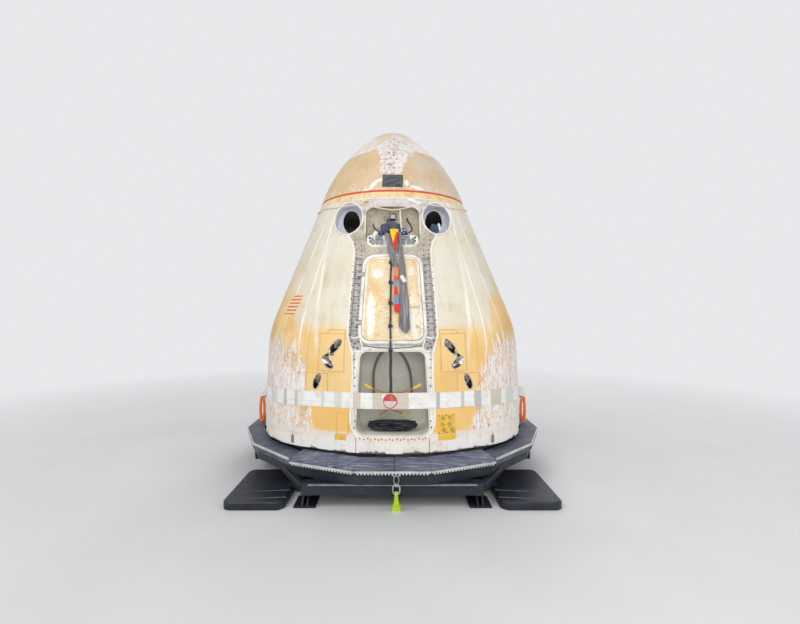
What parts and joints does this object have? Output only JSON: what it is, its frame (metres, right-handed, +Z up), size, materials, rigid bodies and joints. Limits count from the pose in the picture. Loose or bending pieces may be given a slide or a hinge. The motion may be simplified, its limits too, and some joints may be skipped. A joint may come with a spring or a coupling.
{
  "type": "crewed space capsule in its recovery cradle",
  "caption": "Scorched crewed reentry capsule after flight, parachute bays open, with hinged nose, side hatch and tunnel hatch, seated in a low many-sided steel recovery cradle.",
  "frame": {"origin": "on the floor under the capsule's axis, on the underside of the cradle's middle beam", "axes": "+Z up along the capsule's axis; -Y towards the side hatch and the open parachute bays; +X to the right of someone who faces the hatch"},
  "size_m": [4.474, 4.5049, 5.2222],
  "materials": {
    "scorched_skin": "scorched matt",
    "ring_paint": "stained satin",
    "shield_char": "charred",
    "white_frame": "satin",
    "bay_paint": "matt",
    "tube_paint": "satin",
    "trough_grey": "matt",
    "nozzle_metal": "heat-stained",
    "hinge_metal": "satin",
    "connector_blue": "matt",
    "cabin_white": "satin",
    "window_metal": "anodised",
    "window_glass": "clear",
    "seat_shell": "matt",
    "seat_frame_metal": "satin",
    "console_black": "gloss",
    "seal_red": "matt",
    "belt_fabric": "woven",
    "sling_orange": "woven",
    "wrap_white": "woven",
    "sleeve_fabric": "woven",
    "tail_fabric": "woven",
    "ribbon_fabric": "woven",
    "rope_black": "braided",
    "bundle_fabric": "woven",
    "cradle_navy": "worn gloss",
    "pad_rubber": "scuffed",
    "trim_white": "matt",
    "outrigger_black": "worn",
    "shackle_steel": "galvanised",
    "block_lime": "gloss"
  },
  "bodies": {
    "root": {"base_ring": "ring_paint", "heat_shield": "shield_char", "front_skin": "scorched_skin", "pod_front_right": "scorched_skin", "right_skin": "scorched_skin", "pod_rear_right": "scorched_skin", "rear_skin": "scorched_skin", "pod_rear_left": "scorched_skin", "left_skin": "scorched_skin", "pod_front_left": "scorched_skin", "thruster_nozzles": "nozzle_metal", "hatch_frame": "white_frame", "hatch_hinge_base": "hinge_metal", "riser_troughs": "trough_grey", "bay_rim": "white_frame", "lower_bay_liner": "bay_paint", "upper_bay_liner": "bay_paint", "drogue_tubes": "tube_paint", "fitting_panel": "white_frame", "riser_fittings": "hinge_metal", "bay_connectors": "connector_blue", "pressure_vessel": "cabin_white", "window_frames": "window_metal", "window_panes": "window_glass", "cabin_floor": "cabin_white", "seats": "seat_shell", "seat_frame": "seat_frame_metal", "console": "console_black", "forward_bulkhead": "bay_paint", "docking_ring": "white_frame", "docking_petals": "hinge_metal", "tunnel_hinge": "hinge_metal", "seal_ring": "seal_red", "nose_hinge_base": "hinge_metal", "belt": "belt_fabric", "side_slings": "sling_orange", "side_shackles": "wrap_white", "sleeve_long": "sleeve_fabric", "sleeve_short": "sleeve_fabric", "striped_tail": "tail_fabric", "cone_ribbon": "ribbon_fabric", "knotted_rope": "rope_black", "braided_rope": "rope_black", "bay_bundle": "bundle_fabric", "ring_beam": "cradle_navy", "support_ring": "cradle_navy", "ring_pads": "pad_rubber", "front_pads": "pad_rubber", "edge_trim": "trim_white", "comb_strip": "trim_white", "base_frame": "cradle_navy", "legs": "cradle_navy", "outriggers": "outrigger_black", "front_shackle": "shackle_steel", "snatch_block": "block_lime"},
    "nose": {"nose_cone": "scorched_skin", "nose_hinge_arms": "hinge_metal"},
    "hatch": {"side_hatch": "scorched_skin", "hatch_hinge_arms": "hinge_metal"},
    "tunnel_door": {"tunnel_hatch": "cabin_white"}
  },
  "joints": [
    {"name": "nose_hinge", "type": "hinge", "parent": "root", "child": "nose", "pos_m": [0, 1.192, 3.995], "axis": [-1, 0, 0], "range_deg": [0, 110]},
    {"name": "hatch_hinge", "type": "hinge", "parent": "root", "child": "hatch", "pos_m": [-0.462, -1.70003, 2.48052], "axis": [0, -0.3746, -0.9272], "range_deg": [0, 105], "deforming": ["sleeve_long", "sleeve_short", "striped_tail", "cone_ribbon", "knotted_rope"]},
    {"name": "tunnel_hinge", "type": "hinge", "parent": "root", "child": "tunnel_door", "pos_m": [0, -0.505, 3.048], "axis": [-1, 0, 0], "range_deg": [0, 90]}
  ]
}
